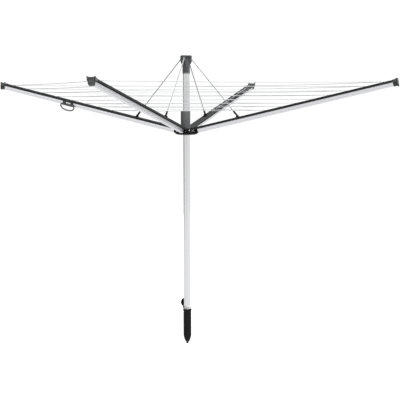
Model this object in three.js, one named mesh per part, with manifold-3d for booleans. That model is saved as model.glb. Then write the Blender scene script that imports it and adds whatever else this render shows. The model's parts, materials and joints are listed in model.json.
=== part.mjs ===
// Rotary clothesline: a mast that turns in a ground socket, a hub that slides on the mast, and four
// arms that hinge on the hub, carry the clotheslines and hang on rope stays from the top cap.
// Millimetres, +Z up. The origin is on the mast's axis at ground level; the arms lie along X and Y.

import * as THREE from 'three';
import { mergeVertices } from 'three/addons/utils/BufferGeometryUtils.js';
import Module from 'manifold-3d';

// ---------------------------------------------------------------- driving dimensions

const GAP = 0.3; // between touching pieces
const ROUND = 28; // segments round a large turned piece
const SMALL_ROUND = 12; // segments round a pin or a hole

const MAST = { radius: 25, wall: 1.6, bottom: -180, top: 1860 };

const SOCKET = {
  boreRadius: 25.6,
  barrelRadius: 28.5,
  collarRadius: 31.6,
  collarTop: 16,
  floor: -186,
  tip: -246,
};

const LID = { azimuth: 140, radius: 32, thickness: 4, hingeRadius: 41, hingeHeight: 19 };

const ARM_RISE = THREE.MathUtils.degToRad(12.87); // above the horizontal, opened
const ARM_LINE_HEIGHT = 1342; // where the plane of the arm's top meets the mast's axis
const ARM_REACH = 1538; // from the mast's axis to the end of the arm
const ARM_HALF_HEIGHT = 14; // of the aluminium profile, which the hinge axis halves
const RAIL_HEIGHT = 16;
const RAIL_HALF_WIDTH = 28; // at its base
const RAIL_HALF_TOP = 26;
const HINGE_RADIUS = 68; // from the mast's axis to an arm's hinge axis

const HUB = { boreRadius: 28.8, neckRadius: 35, neckTop: 1350, bottom: 1302 };
const SLEEVE = { boreRadius: 25.4, radius: 28.8, top: 1475, lobeAzimuth: 225, lobeOffset: 13.8 };

const CAP = { barrelBottom: 1746, barrelRadius: 27.2, headBottom: 1815, discRadius: 38.5, top: 1878 };
const STAY_ANCHOR = { radius: 36, height: 1857 }; // a stay's upper end, at the pin in the cap
const STAY_FOOT_RADIUS = 392; // from the mast's axis to a stay's lower end
const STAY_ROPE_RADIUS = 3.8;

const LINE_RADIUS = 1.8;
const STATIONS = [612, 727, 832, 946, 1073, 1200, 1328, 1455]; // of the lines, from the mast's axis

const HANDLE = { start: 864, end: 967, barRadius: 4.8, side: 23.5, barHeight: -8, drop: 40 };

// ---------------------------------------------------------------- dimensions worked out from those

const ARM_TOP = ARM_HALF_HEIGHT + RAIL_HEIGHT; // of the rail, above the hinge axis
const hingeHeight =
  ARM_LINE_HEIGHT + HINGE_RADIUS * Math.tan(ARM_RISE) - ARM_TOP / Math.cos(ARM_RISE);

// A point of an arm, given as the radius from the mast's axis and the height above the hinge axis
// across the arm, as a distance along the arm from the hinge axis.
const alongArm = (radius, across) =>
  (radius - HINGE_RADIUS + across * Math.sin(ARM_RISE)) / Math.cos(ARM_RISE);

const armEnd = alongArm(ARM_REACH, ARM_TOP);
const GUIDE_PIVOT_HEIGHT = ARM_TOP + 10.5;
const guidePivot = alongArm(STAY_FOOT_RADIUS, GUIDE_PIVOT_HEIGHT);
const guidePivotHeight =
  hingeHeight + guidePivot * Math.sin(ARM_RISE) + GUIDE_PIVOT_HEIGHT * Math.cos(ARM_RISE);
const stayRun = STAY_FOOT_RADIUS - STAY_ANCHOR.radius;
const stayDrop = STAY_ANCHOR.height - guidePivotHeight;
const stayLength = Math.hypot(stayRun, stayDrop);
const stayTilt = Math.atan2(stayRun, stayDrop); // from the vertical

// ---------------------------------------------------------------- joining and cutting

const wasm = await Module();
wasm.setup();

function merged(geometry) {
  const bare = geometry.clone();
  bare.deleteAttribute('normal');
  bare.deleteAttribute('uv');
  return mergeVertices(bare, 1e-4);
}

function toSolid(geometry) {
  const closed = merged(geometry);
  return new wasm.Manifold(
    new wasm.Mesh({
      numProp: 3,
      vertProperties: new Float32Array(closed.attributes.position.array),
      triVerts: new Uint32Array(closed.index.array),
    })
  );
}

function toGeometry(solid) {
  const mesh = solid.getMesh();
  const geometry = new THREE.BufferGeometry();
  geometry.setAttribute('position', new THREE.BufferAttribute(mesh.vertProperties, 3));
  geometry.setIndex(new THREE.BufferAttribute(mesh.triVerts, 1));
  geometry.computeVertexNormals();
  return geometry;
}

function join(first, ...others) {
  let whole = toSolid(first);
  for (const other of others) {
    whole = whole.add(toSolid(other));
  }
  return toGeometry(whole);
}

function cut(body, ...tools) {
  let rest = toSolid(body);
  for (const tool of tools) {
    rest = rest.subtract(toSolid(tool));
  }
  return toGeometry(rest);
}

// ---------------------------------------------------------------- shapes

// A turned piece about Z. The profile is a list of [radius, height], anticlockwise in that plane.
function turned(profile, segments = ROUND) {
  const points = profile.map(([radius, height]) => new THREE.Vector2(radius, height));
  const onAxis = profile[0][0] === 0 && profile.at(-1)[0] === 0;
  if (!onAxis) {
    points.push(points[0].clone());
  }
  return new THREE.LatheGeometry(points, segments).rotateX(Math.PI / 2);
}

function ring(innerRadius, outerRadius, bottom, top) {
  return turned([
    [innerRadius, bottom],
    [outerRadius, bottom],
    [outerRadius, top],
    [innerRadius, top],
  ]);
}

function polygon(points) {
  return new THREE.Shape(points.map(([x, y]) => new THREE.Vector2(x, y)));
}

// An outline in the plane across the arm (Y, Z), swept along X.
function sweptAlongX(shape, from, to) {
  const options = { depth: to - from, bevelEnabled: false, curveSegments: 3 };
  const swept = new THREE.ExtrudeGeometry(shape, options);
  const basis = new THREE.Matrix4().makeBasis(
    new THREE.Vector3(0, 1, 0),
    new THREE.Vector3(0, 0, 1),
    new THREE.Vector3(1, 0, 0)
  );
  return swept.applyMatrix4(basis).translate(from, 0, 0);
}

// An outline in the plane of the arm (X, Z), swept along Y.
function sweptAlongY(shape, from, to) {
  const options = { depth: to - from, bevelEnabled: false, curveSegments: 5 };
  const swept = new THREE.ExtrudeGeometry(shape, options);
  return swept.rotateX(Math.PI / 2).translate(0, to, 0);
}

function boxBetween([x0, y0, z0], [x1, y1, z1]) {
  const box = new THREE.BoxGeometry(x1 - x0, y1 - y0, z1 - z0);
  return box.translate((x0 + x1) / 2, (y0 + y1) / 2, (z0 + z1) / 2);
}

// A round bar between two points.
function bar(start, end, radius, segments = SMALL_ROUND) {
  const from = new THREE.Vector3(...start);
  const to = new THREE.Vector3(...end);
  const along = to.clone().sub(from);
  const turn = new THREE.Quaternion().setFromUnitVectors(
    new THREE.Vector3(0, 1, 0),
    along.clone().normalize()
  );
  const middle = from.clone().add(to).multiplyScalar(0.5);
  return new THREE.CylinderGeometry(radius, radius, along.length(), segments)
    .applyQuaternion(turn)
    .translate(middle.x, middle.y, middle.z);
}

const crossBar = (x, z, radius, halfLength) =>
  bar([x, -halfLength, z], [x, halfLength, z], radius);

// ---------------------------------------------------------------- finishes

const finish = (color, roughness, metalness) => () =>
  new THREE.MeshStandardMaterial({ color, roughness, metalness });

const aluminium = finish(0xc9cbce, 0.3, 0.9);
const steel = finish(0xb9bcc0, 0.35, 1.0);
const greyPlastic = finish(0x55575a, 0.55, 0.0);
const blackPlastic = finish(0x1c1c1d, 0.5, 0.0);
const palePlastic = finish(0xd5d5d6, 0.5, 0.0);
const ropeWhite = finish(0xdedfe0, 0.8, 0.0);

const group = new THREE.Group();

function piece(parent, name, geometry, material) {
  const mesh = new THREE.Mesh(geometry, material());
  mesh.name = name;
  parent.add(mesh);
  return mesh;
}

function turnedGroup(parent, azimuthDegrees) {
  const turn = new THREE.Group();
  turn.rotation.z = THREE.MathUtils.degToRad(azimuthDegrees);
  parent.add(turn);
  return turn;
}

// ---------------------------------------------------------------- ground socket and its lid

function groundSocket() {
  const { boreRadius, barrelRadius, collarRadius, collarTop, floor, tip } = SOCKET;
  const body = turned([
    [0, tip],
    [5, tip + 1],
    [9, tip + 8],
    [11, tip + 17],
    [19, tip + 24],
    [20.5, tip + 31],
    [24, tip + 39],
    [24.5, tip + 46],
    [barrelRadius, tip + 56],
    [barrelRadius, 0],
    [collarRadius, 0],
    [collarRadius, collarTop - 2],
    [collarRadius - 2, collarTop],
    [boreRadius, collarTop],
    [boreRadius, floor],
    [0, floor],
  ]);
  const lug = new THREE.Shape();
  lug.moveTo(barrelRadius - 0.5, 2);
  lug.lineTo(36, 2);
  lug.lineTo(LID.hingeRadius + 4, LID.hingeHeight - 4);
  lug.lineTo(LID.hingeRadius + 4, LID.hingeHeight);
  lug.absarc(LID.hingeRadius, LID.hingeHeight, 4, 0, Math.PI, false);
  lug.lineTo(LID.hingeRadius - 4, collarTop - 2);
  lug.lineTo(barrelRadius - 0.5, collarTop - 2);
  const hinge = cut(
    sweptAlongY(lug, -5, 5),
    crossBar(LID.hingeRadius, LID.hingeHeight, 2, 6)
  ).rotateZ(THREE.MathUtils.degToRad(LID.azimuth));
  return join(body, hinge);
}

// The lid stands open: its disc is upright, with the plug ring that enters the bore facing the mast.
function socketLid() {
  const { radius, thickness, hingeRadius, hingeHeight } = LID;
  const outline = [
    [0, 0],
    [radius - 1.5, 0],
    [radius, 1.5],
    [radius, thickness],
    [24, thickness],
    [24, thickness + 4],
    [21.5, thickness + 4],
    [21.5, thickness],
    [0, thickness],
  ];
  const disc = turned(outline).rotateY(-Math.PI / 2);
  disc.translate(hingeRadius + thickness / 2, 0, hingeHeight + hingeRadius);
  const ear = new THREE.Shape();
  ear.moveTo(hingeRadius - thickness / 2, hingeHeight);
  ear.absarc(hingeRadius, hingeHeight, 4, Math.PI, 2 * Math.PI, false);
  ear.lineTo(hingeRadius + thickness / 2, hingeHeight + 18);
  ear.lineTo(hingeRadius - thickness / 2, hingeHeight + 18);
  const hole = crossBar(hingeRadius, hingeHeight, 2, 20);
  const ears = [1, -1].map((side) =>
    side > 0 ? sweptAlongY(ear, 5 + GAP, 16) : sweptAlongY(ear, -16, -5 - GAP)
  );
  return cut(join(disc, ...ears), hole);
}

piece(group, 'ground_socket', groundSocket(), blackPlastic);
const lidGroup = turnedGroup(group, LID.azimuth);
piece(lidGroup, 'socket_lid', socketLid(), blackPlastic);
piece(lidGroup, 'lid_pin', crossBar(LID.hingeRadius, LID.hingeHeight, 1.7, 16.5), steel);

// ---------------------------------------------------------------- mast and its top cap

function mastFoot() {
  const plugRadius = MAST.radius - MAST.wall - GAP;
  return turned([
    [0, SOCKET.floor + GAP],
    [MAST.radius - 1, SOCKET.floor + GAP],
    [MAST.radius, SOCKET.floor + GAP + 1],
    [MAST.radius, MAST.bottom - GAP],
    [plugRadius, MAST.bottom - GAP],
    [plugRadius, MAST.bottom + 18],
    [0, MAST.bottom + 18],
  ]);
}

function centringCone() {
  const bottom = SOCKET.collarTop + GAP;
  return turned([
    [MAST.radius + GAP, bottom],
    [29, bottom],
    [28.6, bottom + 7],
    [26.8, bottom + 25],
    [MAST.radius + GAP, bottom + 25],
  ]);
}

// A barrel over the mast's end, a notched disc on top, and a pair of ears for each stay.
function topCap() {
  const { barrelBottom, barrelRadius, headBottom, discRadius, top } = CAP;
  const headRadius = barrelRadius + 1.5;
  const body = turned([
    [0, barrelBottom],
    [barrelRadius - 1, barrelBottom],
    [barrelRadius, barrelBottom + 1],
    [barrelRadius, headBottom],
    [headRadius, headBottom + 6],
    [headRadius, top - 9],
    [discRadius, top - 7],
    [discRadius, top - 2],
    [discRadius - 2, top],
    [0, top],
  ]);
  const ear = polygon([
    [26.5, headBottom - 2],
    [31, headBottom],
    [38, headBottom + 10],
    [42, STAY_ANCHOR.height - 20],
    [42.5, top - 8],
    [40, top - 4],
    [26.5, top - 4],
  ]);
  const parts = [];
  const cuts = [];
  for (let quarter = 0; quarter < 4; quarter += 1) {
    const turn = (quarter * Math.PI) / 2;
    parts.push(sweptAlongY(ear, -9.2, 9.2).rotateZ(turn));
    cuts.push(crossBar(STAY_ANCHOR.radius, STAY_ANCHOR.height, 2.2, 12).rotateZ(turn));
    cuts.push(boxBetween([27.6, -5.2, headBottom - 10], [50, 5.2, top + 5]).rotateZ(turn));
  }
  const bore = bar([0, 0, barrelBottom - 5], [0, 0, MAST.top + GAP], MAST.radius + GAP, ROUND);
  return cut(join(body, ...parts), bore, ...cuts);
}

piece(
  group,
  'mast_tube',
  ring(MAST.radius - MAST.wall, MAST.radius, MAST.bottom, MAST.top),
  aluminium
);
piece(group, 'mast_foot', mastFoot(), blackPlastic);
piece(group, 'centring_cone', centringCone(), palePlastic);
piece(group, 'top_cap', topCap(), greyPlastic);

// ---------------------------------------------------------------- sliding hub

const BUTTON = { azimuth: -45, height: 1334, radius: 4.5, start: 32, end: 51 };

// A neck round the mast on a shallow dish, with two ears for each arm and a boss for the catch.
function hubBase() {
  const { boreRadius, neckRadius, neckTop, bottom } = HUB;
  const body = turned([
    [boreRadius, bottom],
    [44, bottom],
    [62, bottom + 2],
    [76, bottom + 6],
    [83, bottom + 11.5],
    [82, bottom + 13],
    [70, bottom + 9.5],
    [neckRadius + 1, bottom + 9],
    [neckRadius, bottom + 10],
    [neckRadius, neckTop - GAP],
    [boreRadius, neckTop - GAP],
  ]);
  const ear = new THREE.Shape();
  ear.moveTo(HINGE_RADIUS - 11, bottom + 6);
  ear.lineTo(HINGE_RADIUS + 9, bottom + 9);
  ear.lineTo(HINGE_RADIUS + 11, hingeHeight);
  ear.absarc(HINGE_RADIUS, hingeHeight, 11, 0, Math.PI, false);
  const parts = [];
  for (let quarter = 0; quarter < 4; quarter += 1) {
    const hole = crossBar(HINGE_RADIUS, hingeHeight, 3.3, 20);
    for (const [from, to] of [[12.6, 17.6], [-17.6, -12.6]]) {
      parts.push(cut(sweptAlongY(ear, from, to), hole).rotateZ((quarter * Math.PI) / 2));
    }
  }
  const azimuth = THREE.MathUtils.degToRad(BUTTON.azimuth);
  const boss = bar([32, 0, BUTTON.height], [47, 0, BUTTON.height], BUTTON.radius + 3.5);
  const bossBore = bar([20, 0, BUTTON.height], [60, 0, BUTTON.height], BUTTON.radius + GAP);
  return cut(join(body, ...parts, boss.rotateZ(azimuth)), bossBore.rotateZ(azimuth));
}

// The sleeve above the neck is wider on one side, between the left and the front arm.
function hubSleeve() {
  const { boreRadius, radius, top, lobeAzimuth, lobeOffset } = SLEEVE;
  const bottom = HUB.neckTop;
  const shell = bar([0, 0, bottom], [0, 0, top], radius, ROUND);
  const lobe = bar([lobeOffset, 0, bottom], [lobeOffset, 0, top], radius, ROUND);
  const bridge = boxBetween([0, -radius + 0.2, bottom], [lobeOffset, radius - 0.2, top]);
  const bore = bar([0, 0, bottom - 5], [0, 0, top + 5], boreRadius, ROUND);
  const sleeve = cut(join(shell, lobe, bridge), bore);
  return sleeve.rotateZ(THREE.MathUtils.degToRad(lobeAzimuth));
}

piece(group, 'hub_base', hubBase(), blackPlastic);
piece(group, 'hub_sleeve', hubSleeve(), greyPlastic);
piece(
  group,
  'slide_bush',
  ring(MAST.radius + GAP, HUB.boreRadius - GAP, HUB.bottom + 1, HUB.neckTop - 1),
  palePlastic
);
const buttonGroup = turnedGroup(group, BUTTON.azimuth);
const button = bar(
  [BUTTON.start, 0, BUTTON.height],
  [BUTTON.end, 0, BUTTON.height],
  BUTTON.radius
);
piece(buttonGroup, 'lock_button', button, steel);

// ---------------------------------------------------------------- arms

// The aluminium profile's outline: a tube that narrows downwards, with round lower corners.
function profileOutline(inset) {
  const top = ARM_HALF_HEIGHT - inset;
  const bottom = -ARM_HALF_HEIGHT + inset;
  const halfTop = 15 - inset;
  const halfBottom = 12 - inset;
  const corner = 5 - inset;
  const shape = new THREE.Shape();
  shape.moveTo(halfTop, top);
  shape.lineTo(-halfTop, top);
  shape.lineTo(-halfBottom - 0.4, bottom + corner);
  shape.absarc(-halfBottom + corner, bottom + corner, corner, Math.PI, 1.5 * Math.PI, false);
  shape.absarc(halfBottom - corner, bottom + corner, corner, 1.5 * Math.PI, 2 * Math.PI, false);
  shape.lineTo(halfBottom + 0.4, bottom + corner);
  return shape;
}

const PROFILE_WALL = 1.6;
const PROFILE_START = 22;
const CAP_THICKNESS = 10;
const SKIRT_LENGTH = 26;
const profileEnd = armEnd - CAP_THICKNESS - GAP;

function armTube() {
  const outline = profileOutline(0);
  outline.holes.push(profileOutline(PROFILE_WALL));
  return sweptAlongX(outline, PROFILE_START + GAP, profileEnd);
}

const LINE_HEIGHT = ARM_TOP - 0.2; // of the lines' centres, across the arm

// A channel on the profile, with a groove along its top and a notch for each line.
function lineRail() {
  const base = ARM_HALF_HEIGHT + GAP;
  const outline = polygon([
    [-RAIL_HALF_WIDTH, base],
    [-RAIL_HALF_WIDTH + 2.2, base],
    [-RAIL_HALF_TOP + 1.6, ARM_TOP - 2.4],
    [-5.5, ARM_TOP - 2.4],
    [-5.5, base],
    [5.5, base],
    [5.5, ARM_TOP - 2.4],
    [RAIL_HALF_TOP - 1.6, ARM_TOP - 2.4],
    [RAIL_HALF_WIDTH - 2.2, base],
    [RAIL_HALF_WIDTH, base],
    [RAIL_HALF_TOP, ARM_TOP],
    [3.5, ARM_TOP],
    [3.5, ARM_TOP - 7],
    [-3.5, ARM_TOP - 7],
    [-3.5, ARM_TOP],
    [-RAIL_HALF_TOP, ARM_TOP],
  ]);
  const notches = STATIONS.map((radius) => {
    const at = alongArm(radius, LINE_HEIGHT);
    const floor = LINE_HEIGHT - LINE_RADIUS - GAP;
    return boxBetween([at - 11, -12, floor], [at + 3, 12, ARM_TOP + 5]);
  });
  return cut(sweptAlongX(outline, -8, profileEnd), ...notches);
}

// A black knuckle on the hinge pin, a collar, and a plug in the profile's end.
function armRoot() {
  const knuckle = new THREE.Shape();
  knuckle.moveTo(0, -13.4);
  knuckle.lineTo(16, -13.4);
  knuckle.lineTo(16, 13.4);
  knuckle.lineTo(0, 13.4);
  knuckle.absarc(0, 0, 13.4, Math.PI / 2, 1.5 * Math.PI, false);
  const collar = sweptAlongX(profileOutline(0), 12, PROFILE_START);
  const plug = boxBetween([10, -8.5, -11.8], [64, 8.5, 11.8]);
  return cut(join(sweptAlongY(knuckle, -12.3, 12.3), collar, plug), crossBar(0, 0, 3.3, 20));
}

// An outline a little outside the profile and the rail.
function skirtOutline(outside) {
  const railBase = RAIL_HALF_WIDTH + outside;
  const railTop = RAIL_HALF_TOP + outside;
  const profileTop = 15 + outside;
  const profileBottom = 12.4 + outside;
  return polygon([
    [-profileBottom, -ARM_HALF_HEIGHT - outside],
    [profileBottom, -ARM_HALF_HEIGHT - outside],
    [profileTop, ARM_HALF_HEIGHT - outside],
    [railBase, ARM_HALF_HEIGHT - outside],
    [railBase, ARM_HALF_HEIGHT + outside],
    [railTop, ARM_TOP + outside],
    [-railTop, ARM_TOP + outside],
    [-railBase, ARM_HALF_HEIGHT + outside],
    [-railBase, ARM_HALF_HEIGHT - outside],
    [-profileTop, ARM_HALF_HEIGHT - outside],
  ]);
}

// A shield-shaped plate with two horns, a skirt round the arm, and a plug in the profile's end.
function endCap() {
  const shape = new THREE.Shape();
  shape.moveTo(0, -22);
  shape.quadraticCurveTo(13, -21, 16, -10);
  shape.lineTo(23, 14);
  shape.quadraticCurveTo(25, 26, 30.5, 31);
  shape.quadraticCurveTo(32, 35, 29, 38);
  shape.quadraticCurveTo(22, 37, 18, 32.5);
  shape.lineTo(-18, 32.5);
  shape.quadraticCurveTo(-22, 37, -29, 38);
  shape.quadraticCurveTo(-32, 35, -30.5, 31);
  shape.quadraticCurveTo(-25, 26, -23, 14);
  shape.lineTo(-16, -10);
  shape.quadraticCurveTo(-13, -21, 0, -22);
  const plate = sweptAlongX(shape, armEnd - CAP_THICKNESS, armEnd);
  const skirt = cut(
    sweptAlongX(skirtOutline(2.2), profileEnd - SKIRT_LENGTH, armEnd - 5),
    sweptAlongX(skirtOutline(GAP), profileEnd - SKIRT_LENGTH - 5, profileEnd + GAP)
  );
  const plug = boxBetween([armEnd - 34, -8.5, -11.8], [armEnd - 5, 8.5, 11.8]);
  return join(plate, skirt, plug);
}

// Two ears on the rail, which hold the rope guide's trunnions.
function guideFoot() {
  const base = ARM_TOP + GAP;
  const ear = new THREE.Shape();
  ear.moveTo(guidePivot - 11, base);
  ear.lineTo(guidePivot + 11, base);
  ear.absarc(guidePivot, GUIDE_PIVOT_HEIGHT, 5, 0, Math.PI, false);
  const ears = [sweptAlongY(ear, 9.4, 13), sweptAlongY(ear, -13, -9.4)];
  const plate = boxBetween([guidePivot - 14, -13, base], [guidePivot + 14, 13, base + 1.5]);
  return cut(join(plate, ...ears), crossBar(guidePivot, GUIDE_PIVOT_HEIGHT, 2.3, 15));
}

// The clotheslines' halves that this arm carries: a trunk in the rail's groove, and from each
// station a line to the middle of the sector on either side.
function clotheslines() {
  const heightAt = (radius) =>
    ARM_LINE_HEIGHT +
    radius * Math.tan(ARM_RISE) -
    (ARM_TOP - LINE_HEIGHT) / Math.cos(ARM_RISE);
  const first = STATIONS[0];
  const last = STATIONS.at(-1);
  const trunkLength = (last - first) / Math.cos(ARM_RISE) + 4;
  const trunk = boxBetween([-trunkLength / 2, -2, -4.5], [trunkLength / 2, 2, 0.6])
    .rotateY(-ARM_RISE)
    .translate((first + last) / 2, 0, (heightAt(first) + heightAt(last)) / 2);
  const halves = [];
  for (const radius of STATIONS) {
    const height = heightAt(radius);
    for (const side of [1, -1]) {
      const reach = radius / 2 - GAP / 2;
      halves.push(bar([radius, 0, height], [radius - reach, side * reach, height], LINE_RADIUS, 6));
    }
  }
  return join(trunk, ...halves);
}

// The tube that leads a stay into the arm, lying along the stay, with its trunnions.
function ropeGuide() {
  const length = 44;
  const tube = turned([
    [STAY_ROPE_RADIUS + GAP, 8],
    [7.4, 8],
    [6.6, length - 4],
    [7.6, length - 3],
    [7.6, length],
    [STAY_ROPE_RADIUS + GAP, length],
  ], SMALL_ROUND);
  const knuckle = boxBetween([-4.8, -9, -5], [4.8, 9, 10]);
  const trunnion = crossBar(0, 0, 2, 12.8);
  const bore = bar([0, 0, 6], [0, 0, 12], STAY_ROPE_RADIUS + GAP);
  return cut(join(tube, knuckle, trunnion), bore);
}

// A rope with an eye round its pin in the cap, along -Z from the pin.
function stayRope() {
  const eyeRadius = 5.2;
  const strandRadius = 2.6;
  const section = Array.from({ length: 8 }, (_, index) => {
    const turn = (index * Math.PI) / 4;
    return [eyeRadius + strandRadius * Math.cos(turn), strandRadius * Math.sin(turn)];
  });
  const eye = turned(section, SMALL_ROUND).rotateX(Math.PI / 2);
  const rope = bar([0, 0, -5.5], [0, 0, -stayLength + 8], STAY_ROPE_RADIUS, 10);
  return join(eye, rope);
}

const arms = [
  { name: 'right', azimuth: 0 },
  { name: 'back', azimuth: 90 },
  { name: 'left', azimuth: 180 },
  { name: 'front', azimuth: 270 },
];
const armGroups = {};

for (const { name, azimuth } of arms) {
  const turn = turnedGroup(group, azimuth);
  const pin = crossBar(HINGE_RADIUS, hingeHeight, 3, 19.5);
  piece(turn, `${name}_hinge_pin`, pin, steel);
  piece(turn, `${name}_clotheslines`, clotheslines(), ropeWhite);

  const arm = new THREE.Group();
  arm.position.set(HINGE_RADIUS, 0, hingeHeight);
  arm.rotation.y = -ARM_RISE;
  turn.add(arm);
  armGroups[name] = arm;
  piece(arm, `${name}_arm_root`, armRoot(), blackPlastic);
  piece(arm, `${name}_arm_tube`, armTube(), aluminium);
  piece(arm, `${name}_line_rail`, lineRail(), greyPlastic);
  piece(arm, `${name}_end_cap`, endCap(), greyPlastic);
  piece(arm, `${name}_guide_foot`, guideFoot(), blackPlastic);

  const stay = new THREE.Group();
  stay.position.set(STAY_ANCHOR.radius, 0, STAY_ANCHOR.height);
  stay.rotation.y = -stayTilt;
  turn.add(stay);
  piece(stay, `${name}_stay_rope`, stayRope(), ropeWhite);
  const anchorPin = crossBar(STAY_ANCHOR.radius, STAY_ANCHOR.height, 1.9, 9.2);
  piece(turn, `${name}_stay_pin`, anchorPin, steel);

  const guide = new THREE.Group();
  guide.position.set(STAY_FOOT_RADIUS, 0, guidePivotHeight);
  guide.rotation.y = -stayTilt;
  turn.add(guide);
  piece(guide, `${name}_rope_guide`, ropeGuide(), blackPlastic);
}

// ---------------------------------------------------------------- pull handle on the left arm

// A clip under the profile, with a window in each side and two knuckles for the handle's bar.
function handleSaddle() {
  const start = HANDLE.start + 7;
  const end = HANDLE.end - 7;
  const inner = 15 + GAP;
  const outer = 18;
  const top = ARM_HALF_HEIGHT - 2;
  const bottom = -ARM_HALF_HEIGHT - GAP;
  const clip = polygon([
    [-outer, top],
    [-outer, bottom - 3],
    [outer, bottom - 3],
    [outer, top],
    [inner, top],
    [inner, bottom],
    [-inner, bottom],
    [-inner, top],
  ]);
  const window = boxBetween([start + 23, -30, -3.2], [end - 24, 30, 10]);
  const body = cut(sweptAlongX(clip, start, end), window);
  const knuckles = [start, end - 16].map((from) =>
    join(
      bar([from, HANDLE.side, HANDLE.barHeight], [from + 16, HANDLE.side, HANDLE.barHeight], 7.5),
      boxBetween([from, outer - 1, HANDLE.barHeight - 4], [from + 16, HANDLE.side, HANDLE.barHeight + 4])
    )
  );
  const bore = bar(
    [HANDLE.start - 5, HANDLE.side, HANDLE.barHeight],
    [HANDLE.end + 5, HANDLE.side, HANDLE.barHeight],
    HANDLE.barRadius + GAP
  );
  return cut(join(body, ...knuckles), bore);
}

// A D-shaped bail: a straight bar along the arm and a bow below it.
function pullHandle() {
  const { start, end, barRadius, side, barHeight, drop } = HANDLE;
  const straight = bar([start, side, barHeight], [end, side, barHeight], barRadius);
  const bottom = barHeight - drop;
  const bow = new THREE.CatmullRomCurve3(
    [
      [start, barHeight - 1],
      [start - 6, barHeight - 6],
      [start - 9, barHeight - 14],
      [start - 5, barHeight - 27],
      [start + 9, bottom + 4],
      [start + 32, bottom],
      [end - 44, bottom],
      [end - 16, bottom + 8],
      [end, barHeight - 18],
      [end + 1.5, barHeight - 8],
      [end, barHeight - 1],
    ].map(([x, z]) => new THREE.Vector3(x, side, z))
  );
  const section = new THREE.Shape().absarc(0, 0, barRadius, 0, 2 * Math.PI, false);
  const swept = new THREE.ExtrudeGeometry(section, {
    extrudePath: bow,
    steps: 24,
    curveSegments: 4,
    bevelEnabled: false,
  });
  return join(straight, swept);
}

piece(armGroups.left, 'handle_saddle', handleSaddle(), greyPlastic);
piece(armGroups.left, 'pull_handle', pullHandle(), greyPlastic);

export default group;
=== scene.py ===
"""The looks of the rotary clothesline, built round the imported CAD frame.

Blender works in metres, +Z up. Shapes are written in millimetres, each in the frame of the part it
belongs to, and a matrix puts them in place. A shape is a pair of lists: vertices and faces.
"""

import json
import math

import bmesh
import bpy
from mathutils import Matrix, Vector


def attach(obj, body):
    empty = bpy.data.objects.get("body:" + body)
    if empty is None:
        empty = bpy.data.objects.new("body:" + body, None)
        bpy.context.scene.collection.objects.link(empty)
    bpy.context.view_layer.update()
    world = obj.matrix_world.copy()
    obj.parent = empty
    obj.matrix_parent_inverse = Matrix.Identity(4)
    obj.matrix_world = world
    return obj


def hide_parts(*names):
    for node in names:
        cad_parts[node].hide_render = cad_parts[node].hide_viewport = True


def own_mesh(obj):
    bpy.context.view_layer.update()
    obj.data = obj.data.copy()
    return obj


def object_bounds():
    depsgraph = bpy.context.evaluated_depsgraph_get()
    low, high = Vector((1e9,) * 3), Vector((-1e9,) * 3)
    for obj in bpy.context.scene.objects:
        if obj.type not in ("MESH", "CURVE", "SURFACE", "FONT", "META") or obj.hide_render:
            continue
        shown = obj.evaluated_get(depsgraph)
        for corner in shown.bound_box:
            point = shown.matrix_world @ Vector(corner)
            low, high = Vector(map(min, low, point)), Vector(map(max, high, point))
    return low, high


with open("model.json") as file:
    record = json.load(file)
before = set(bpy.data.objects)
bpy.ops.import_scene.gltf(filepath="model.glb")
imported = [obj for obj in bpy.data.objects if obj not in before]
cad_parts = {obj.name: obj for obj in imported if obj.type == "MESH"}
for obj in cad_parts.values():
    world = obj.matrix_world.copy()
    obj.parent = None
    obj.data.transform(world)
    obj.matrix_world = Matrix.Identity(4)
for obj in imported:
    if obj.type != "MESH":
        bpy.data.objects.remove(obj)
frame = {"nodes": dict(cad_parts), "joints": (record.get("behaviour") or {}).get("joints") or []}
cad_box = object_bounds()
joints = {joint["name"]: joint for joint in frame["joints"]}

# ------------------------------------------------------------------ dimensions, as in the CAD, mm

MM = 0.001
GAP = 0.3
ROUND = 72  # segments round a large turned piece
SMALL_ROUND = 24

ARM_RISE = math.radians(12.87)
ARM_LINE_HEIGHT = 1342
ARM_REACH = 1538
ARM_HALF_HEIGHT = 14
RAIL_HEIGHT = 16
ARM_TOP = ARM_HALF_HEIGHT + RAIL_HEIGHT
HINGE_RADIUS = 68
PROFILE_START = 22

MAST_RADIUS = 25
MAST_WALL = 1.6
LINE_RADIUS = 1.8
LINE_HEIGHT = ARM_TOP - 0.2
STATIONS = (612, 727, 832, 946, 1073, 1200, 1328, 1455)  # of the lines, from the mast's axis
STAY_ROPE_RADIUS = 3.8

ARMS = ("right", "back", "left", "front")


def along_arm(radius, across):
    """The distance along an arm of the point at that radius and height across the arm."""
    return (radius - HINGE_RADIUS + across * math.sin(ARM_RISE)) / math.cos(ARM_RISE)


ARM_END = along_arm(ARM_REACH, ARM_TOP)

# ------------------------------------------------------------------ shapes


def combined(*shapes):
    """Several shapes as one, without joining their volumes."""
    verts, faces = [], []
    for shape_verts, shape_faces in shapes:
        start = len(verts)
        verts += shape_verts
        faces += [[start + index for index in face] for face in shape_faces]
    return verts, faces


def moved(shape, matrix):
    return [tuple(matrix @ Vector(v)) for v in shape[0]], shape[1]


def turned_z(shape, degrees):
    return moved(shape, Matrix.Rotation(math.radians(degrees), 4, "Z"))


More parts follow.
